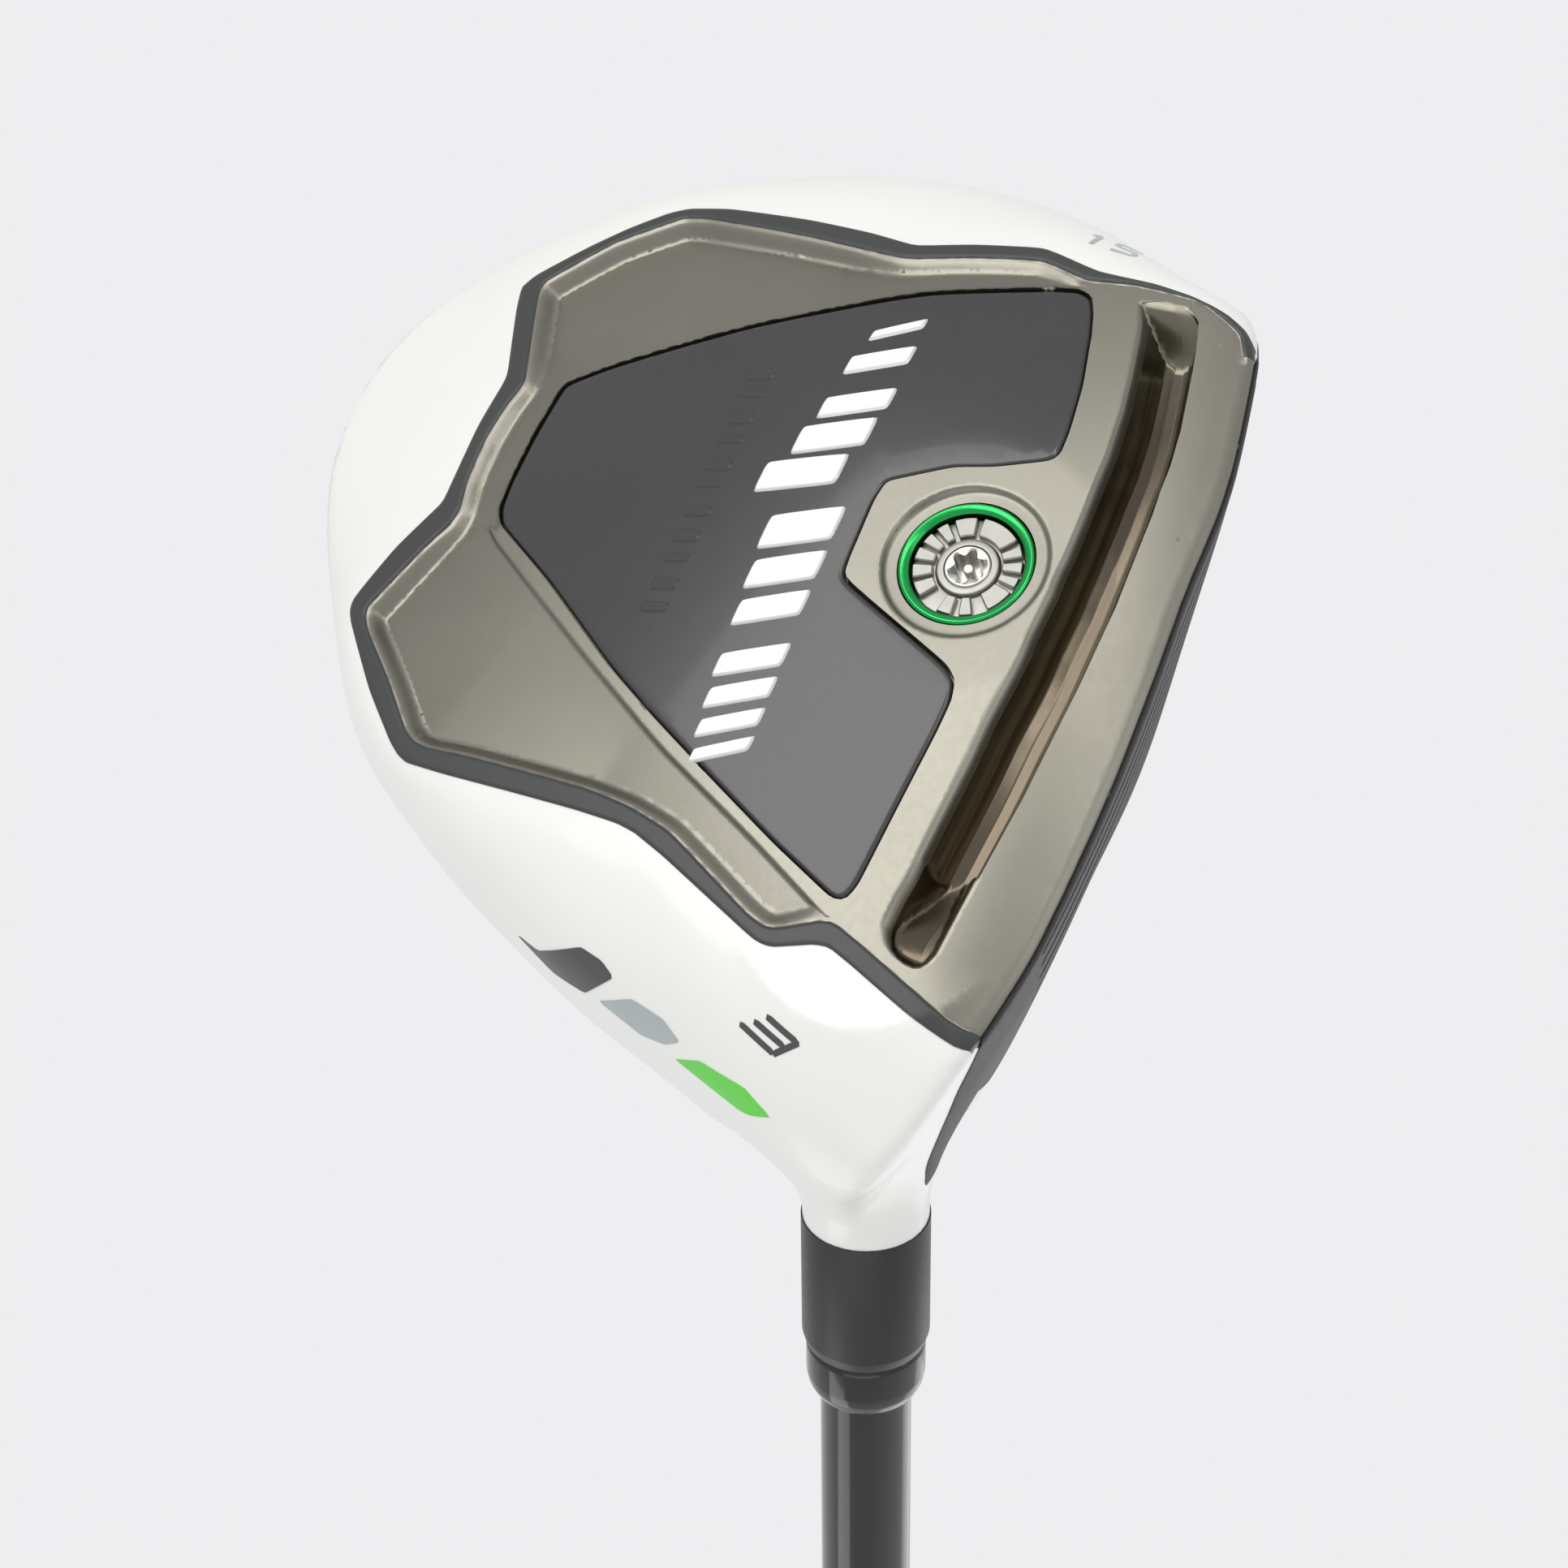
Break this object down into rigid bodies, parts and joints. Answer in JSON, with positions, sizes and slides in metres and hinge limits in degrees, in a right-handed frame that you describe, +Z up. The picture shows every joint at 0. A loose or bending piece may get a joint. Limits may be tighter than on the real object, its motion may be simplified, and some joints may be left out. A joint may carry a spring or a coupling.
{
  "type": "fairway wood golf club",
  "caption": "Golf club with a hollow steel head, long channel and removable screw-in weight in the sole, bonded tapered shaft and rubber grip.",
  "frame": {"origin": "flat of the sole beside the weight port, on the ground plane at address", "axes": "+Z up at address, +X towards the heel and the grip end, +Y towards the rear of the head, the face looks towards -Y"},
  "size_m": [0.6641, 0.0914, 0.9445],
  "materials": {
    "nickel_steel": "satin warm nickel",
    "white_paint": "gloss white paint",
    "face_black": "satin black, milled lines",
    "panel_gloss": "high gloss dark grey",
    "film": "tacky film",
    "black_polymer": "matt",
    "green_anodised": "anodised green",
    "black_rubber": "matt",
    "silver_metal": "bead blasted silver",
    "dark_steel": "machined",
    "screw_steel": "machined",
    "shaft_gloss": "gloss black lacquer over graphite",
    "brass_plug": "turned",
    "ferrule_gloss": "polished black",
    "grip_rubber": "moulded texture"
  },
  "bodies": {
    "club": {"body_casting": "nickel_steel", "crown_plate": "white_paint", "face_plate": "face_black", "sole_panel": "panel_gloss", "panel_adhesive": "film", "channel_insert": "black_polymer", "weight_port_cup": "green_anodised", "port_gasket": "black_rubber", "rattle_pad": "film", "shaft": "shaft_gloss", "hosel_plug": "black_polymer", "shaft_tip_plug": "brass_plug", "ferrule": "ferrule_gloss", "grip_tape": "film", "grip_sleeve": "grip_rubber", "grip_cap": "black_rubber"},
    "weight": {"weight_cap": "silver_metal", "weight_core": "dark_steel", "screw_clip": "dark_steel"},
    "screw": {"weight_screw": "screw_steel"}
  },
  "joints": [
    {"name": "weight_slide", "type": "slide", "parent": "club", "child": "weight", "axis": [0, 0, -1], "range_m": [0, 0.008]},
    {"name": "screw_spin", "type": "hinge", "parent": "weight", "child": "screw", "pos_m": [-0.0105, 0, 0.001], "axis": [0, 0, -1], "range_deg": [0, 4114]}
  ],
  "couplings": [
    {"joint": "screw_spin", "follows": "weight_slide", "rad_per_m": 8975}
  ]
}
